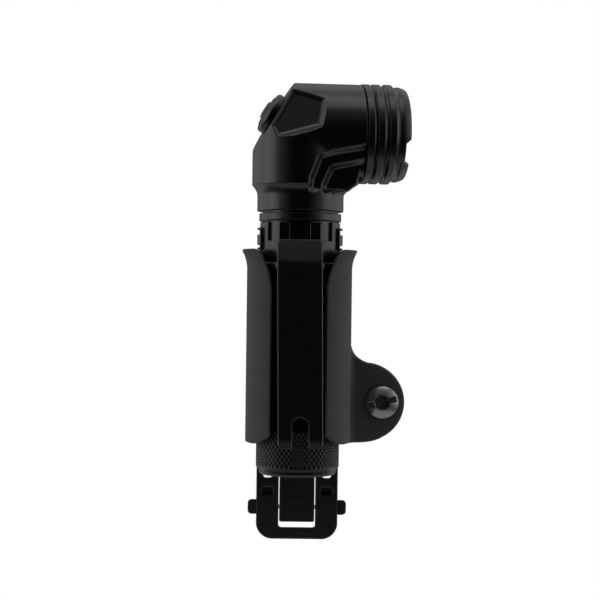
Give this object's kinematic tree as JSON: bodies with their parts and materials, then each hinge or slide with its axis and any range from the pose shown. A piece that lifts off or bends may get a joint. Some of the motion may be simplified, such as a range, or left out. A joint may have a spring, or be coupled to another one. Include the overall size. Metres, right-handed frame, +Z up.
{
  "type": "flashlight with belt holster",
  "caption": "Right-angle flashlight with a pocket clip, docked in a moulded front-slot holster on a hinged belt clip with side release tabs.",
  "frame": {"origin": "centre of the belt channel, between the belt clip's base and jaw, at mid height of a 2 in belt", "axes": "+Z up, +X along the belt and the light's beam, -Y out from the wearer's body, where the pocket clip faces"},
  "size_m": [0.067, 0.0588, 0.1855],
  "materials": {
    "anodised": "satin black anodising",
    "moulded_sheet": "fine-grained thermoplastic sheet",
    "clip_plastic": "injection moulded, matt",
    "clip_steel": "black coated spring steel",
    "gunmetal": "dark oxide on steel",
    "spring_steel": "plain steel",
    "rubber": "matt black",
    "button_rubber": "matt black silicone",
    "cell_steel": "nickel-plated steel",
    "cell_wrap": "shrink wrap",
    "brass": "gold-plated contacts",
    "circuit_board": "solder mask",
    "components": "moulded packages",
    "wire": "silicone insulation",
    "lens_glass": "coated glass",
    "mirror_coat": "aluminised",
    "emitter": "phosphor under a clear dome",
    "bare_aluminium": "plain machined"
  },
  "bodies": {
    "holster": {"holster_shell": "moulded_sheet", "retention_screw": "gunmetal", "retention_post": "gunmetal", "retention_spacer": "rubber", "mount_screws": "gunmetal", "belt_clip_base": "clip_plastic", "belt_spacer_bar": "clip_plastic", "hinge_pin": "spring_steel", "tab_springs": "spring_steel"},
    "jaw": {"belt_clip_jaw": "clip_plastic"},
    "left_tab": {"release_tab_left": "clip_plastic"},
    "right_tab": {"release_tab_right": "clip_plastic"},
    "collar": {"clip_collar": "anodised", "clip_rivets": "clip_steel"},
    "clip": {"pocket_clip": "clip_steel"},
    "light": {"body_tube": "anodised", "tail_o_ring": "rubber", "neck_ring": "anodised", "battery_cell": "cell_steel", "cell_wrap": "cell_wrap", "head_contact_spring": "brass", "driver_board": "circuit_board", "driver_parts": "components", "driver_retaining_ring": "brass", "led_wires": "wire", "head_housing": "anodised", "bezel_ring": "anodised", "lens": "lens_glass", "lens_gasket": "rubber", "reflector": "mirror_coat", "led_emitter": "emitter", "led_board": "circuit_board", "led_pill": "bare_aluminium", "switch_ring": "anodised", "switch_board": "circuit_board", "tact_switch": "components"},
    "button": {"switch_button": "button_rubber"},
    "tail_carrier": {"tail_spring": "brass", "tail_contact_board": "circuit_board"},
    "tail": {"tail_cap": "anodised", "tail_magnet": "cell_steel"}
  },
  "joints": [
    {"name": "light_draw", "type": "slide", "parent": "holster", "child": "collar", "axis": [0, 0, 1], "range_m": [0, 0.125]},
    {"name": "light_swivel", "type": "hinge", "parent": "collar", "child": "light", "pos_m": [0, -0.028, 0], "axis": [0, 0, 1], "continuous": true},
    {"name": "clip_flex", "type": "hinge", "parent": "collar", "child": "clip", "pos_m": [0, -0.0463, 0.0338], "axis": [-1, 0, 0], "range_deg": [0, 5], "stiffness_Nm_per_rad": 3, "springref_deg": -1.15},
    {"name": "switch_press", "type": "slide", "parent": "light", "child": "button", "axis": [0.8506, 0.1195, -0.512], "range_m": [0, 0.0012], "stiffness_N_per_m": 2500, "springref_m": -0.0005},
    {"name": "tail_travel", "type": "slide", "parent": "light", "child": "tail_carrier", "axis": [0, 0, -1], "range_m": [0, 0.0076]},
    {"name": "tail_turn", "type": "hinge", "parent": "tail_carrier", "child": "tail", "pos_m": [0, -0.028, -0.05], "axis": [0, 0, -1], "range_deg": [0, 1800]},
    {"name": "jaw_open", "type": "hinge", "parent": "holster", "child": "jaw", "pos_m": [0, 0, 0.0286], "axis": [1, 0, 0], "range_deg": [0, 75]},
    {"name": "left_tab_press", "type": "slide", "parent": "holster", "child": "left_tab", "axis": [1, 0, 0], "range_m": [0, 0.0018], "stiffness_N_per_m": 800, "springref_m": -0.001},
    {"name": "right_tab_press", "type": "slide", "parent": "holster", "child": "right_tab", "axis": [-1, 0, 0], "range_m": [0, 0.0018], "stiffness_N_per_m": 800, "springref_m": -0.001}
  ],
  "couplings": [
    {"joint": "tail_travel", "follows": "tail_turn", "m_per_rad": 0.00023873}
  ]
}
